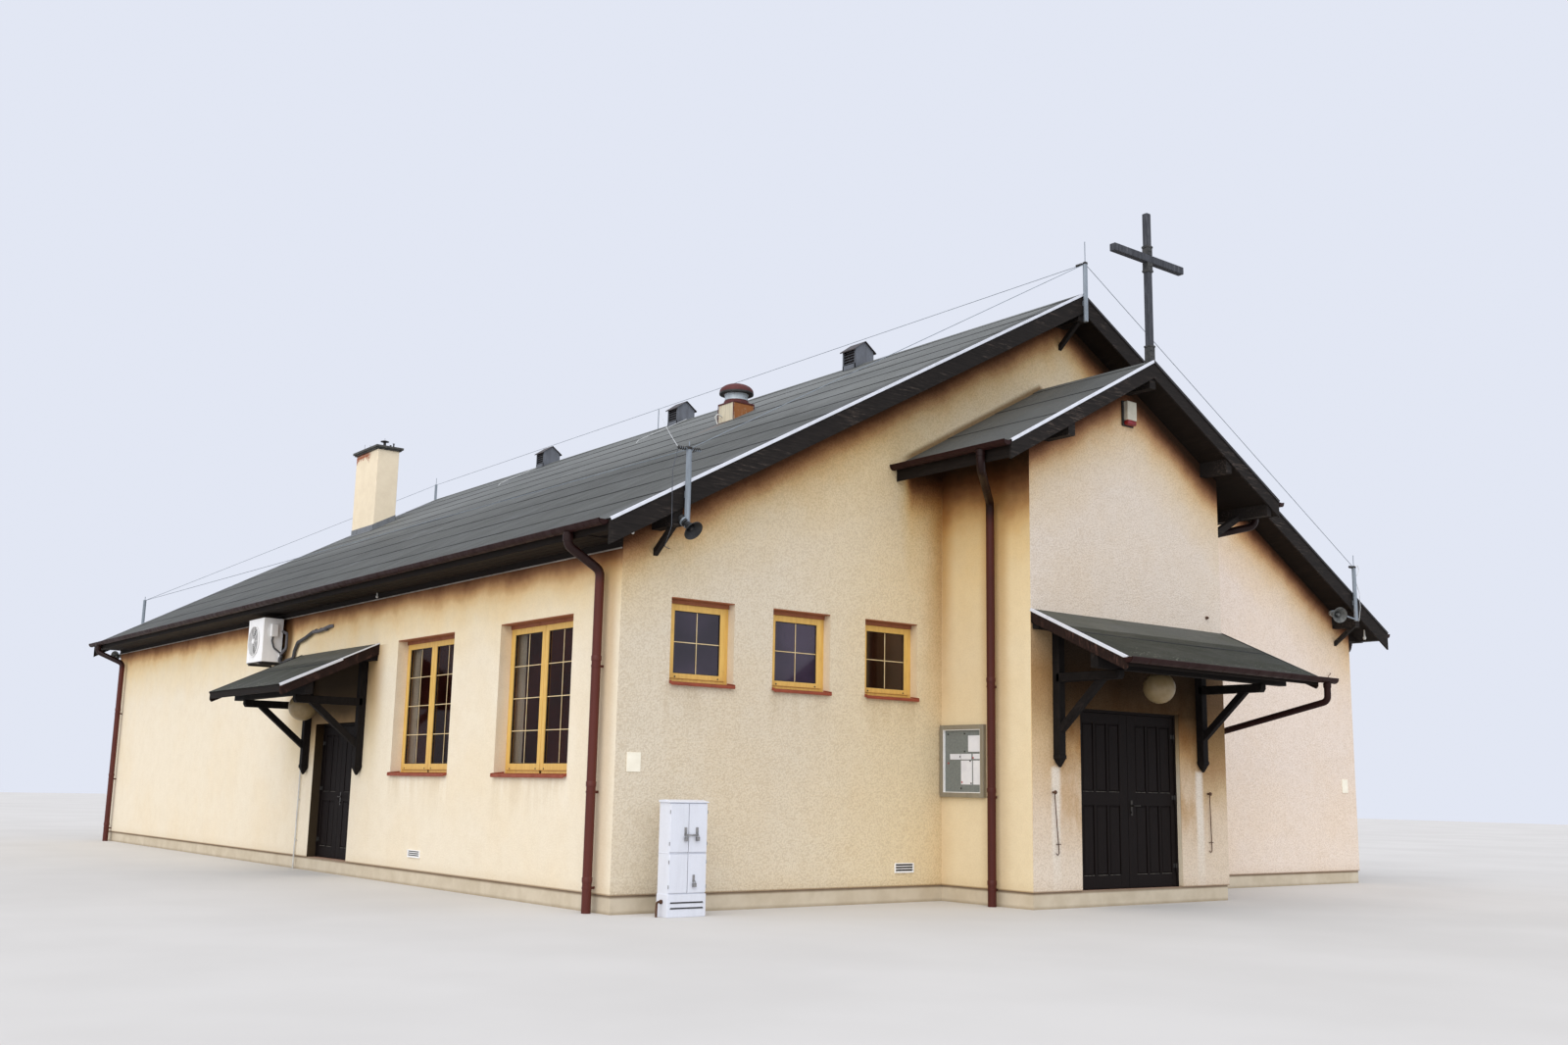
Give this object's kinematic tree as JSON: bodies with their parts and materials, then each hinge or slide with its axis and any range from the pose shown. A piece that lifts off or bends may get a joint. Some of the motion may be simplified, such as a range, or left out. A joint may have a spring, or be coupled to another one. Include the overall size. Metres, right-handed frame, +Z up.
{
  "type": "church building",
  "caption": "Low gabled church hall with an entrance porch, a timber cross, bracketed canopies over its doors and a hollow interior.",
  "frame": {"origin": "bottom centre of the bounding box, on the ground", "axes": "+Y from the porch towards the rear gable, +X to the right seen from the front, +Z up"},
  "size_m": [17.4333, 25.2664, 9.7],
  "materials": {
    "render": "rough cream mineral render, weather stained",
    "plinth": "rough beige cement plinth",
    "roof_felt": "bitumen felt with fine mineral grit",
    "dark_timber": "almost black stained timber",
    "door_timber": "very dark brown stained timber",
    "brown_metal": "red-brown coated steel",
    "window_frame": "ochre yellow lacquered timber",
    "galvanised": "dull galvanised sheet",
    "white_metal": "off-white powder coat",
    "aluminium": "satin anodised",
    "opal_glass": "milky globe",
    "curtain": "plain beige curtain cloth",
    "glass": "clear window glass",
    "verge_metal": "pale verge flashing",
    "sill_metal": "red-brown window sill"
  },
  "bodies": {
    "building": {"front_wall_left": "render", "front_wall_right": "render", "front_gable": "render", "rear_wall": "render", "left_wall_front": "render", "left_wall_over_door": "render", "left_wall_rear": "render", "right_wall": "render", "porch_left_wall": "render", "porch_right_wall": "render", "porch_gable": "render", "chimney": "render", "ground_slab": "plinth", "hall_roof_left": "roof_felt", "hall_roof_right": "roof_felt", "porch_roof_left": "roof_felt", "porch_roof_right": "roof_felt", "main_canopy_roof": "roof_felt", "side_canopy_roof": "roof_felt", "front_barge_boards": "dark_timber", "rear_barge_boards": "dark_timber", "porch_barge_boards": "dark_timber", "main_canopy_brackets": "dark_timber", "side_canopy_brackets": "dark_timber", "cross": "dark_timber", "main_door_frame": "door_timber", "side_door_frame": "door_timber", "left_gutter": "brown_metal", "right_gutter": "brown_metal", "left_front_downpipe": "brown_metal", "left_rear_downpipe": "brown_metal", "right_front_downpipe": "brown_metal", "right_rear_downpipe": "brown_metal", "porch_left_gutter": "brown_metal", "porch_right_gutter": "brown_metal", "canopy_gutter": "brown_metal", "front_window_1": "window_frame", "front_window_2": "window_frame", "front_window_3": "window_frame", "left_window_1": "window_frame", "left_window_2": "window_frame", "right_window_1": "window_frame", "right_window_2": "window_frame", "ridge_vent_1": "galvanised", "ridge_vent_2": "galvanised", "ridge_vent_3": "galvanised", "roof_fan": "galvanised", "lightning_conductor": "galvanised", "ac_unit": "white_metal", "meter_cabinet": "white_metal", "noticeboard": "aluminium", "main_lamp": "opal_glass", "side_lamp": "opal_glass", "left_window_1_curtain": "curtain", "left_window_2_curtain": "curtain"},
    "main_door_left": {"main_door_left": "door_timber"},
    "main_door_right": {"main_door_right": "door_timber"},
    "side_door_front": {"side_door_front": "door_timber"},
    "side_door_rear": {"side_door_rear": "door_timber"}
  },
  "joints": [
    {"name": "main_left_hinge", "type": "hinge", "parent": "building", "child": "main_door_left", "pos_m": [-1.09765, -10.90185, 1.2], "axis": [0, 0, -1], "range_deg": [0, 90]},
    {"name": "main_right_hinge", "type": "hinge", "parent": "building", "child": "main_door_right", "pos_m": [0.88635, -10.90185, 1.2], "axis": [0, 0, 1], "range_deg": [0, 90]},
    {"name": "side_front_hinge", "type": "hinge", "parent": "building", "child": "side_door_front", "pos_m": [-7.11165, -1.71885, 1.2], "axis": [0, 0, 1], "range_deg": [0, 90]},
    {"name": "side_rear_hinge", "type": "hinge", "parent": "building", "child": "side_door_rear", "pos_m": [-7.11165, -0.22085, 1.2], "axis": [0, 0, -1], "range_deg": [0, 90]}
  ]
}
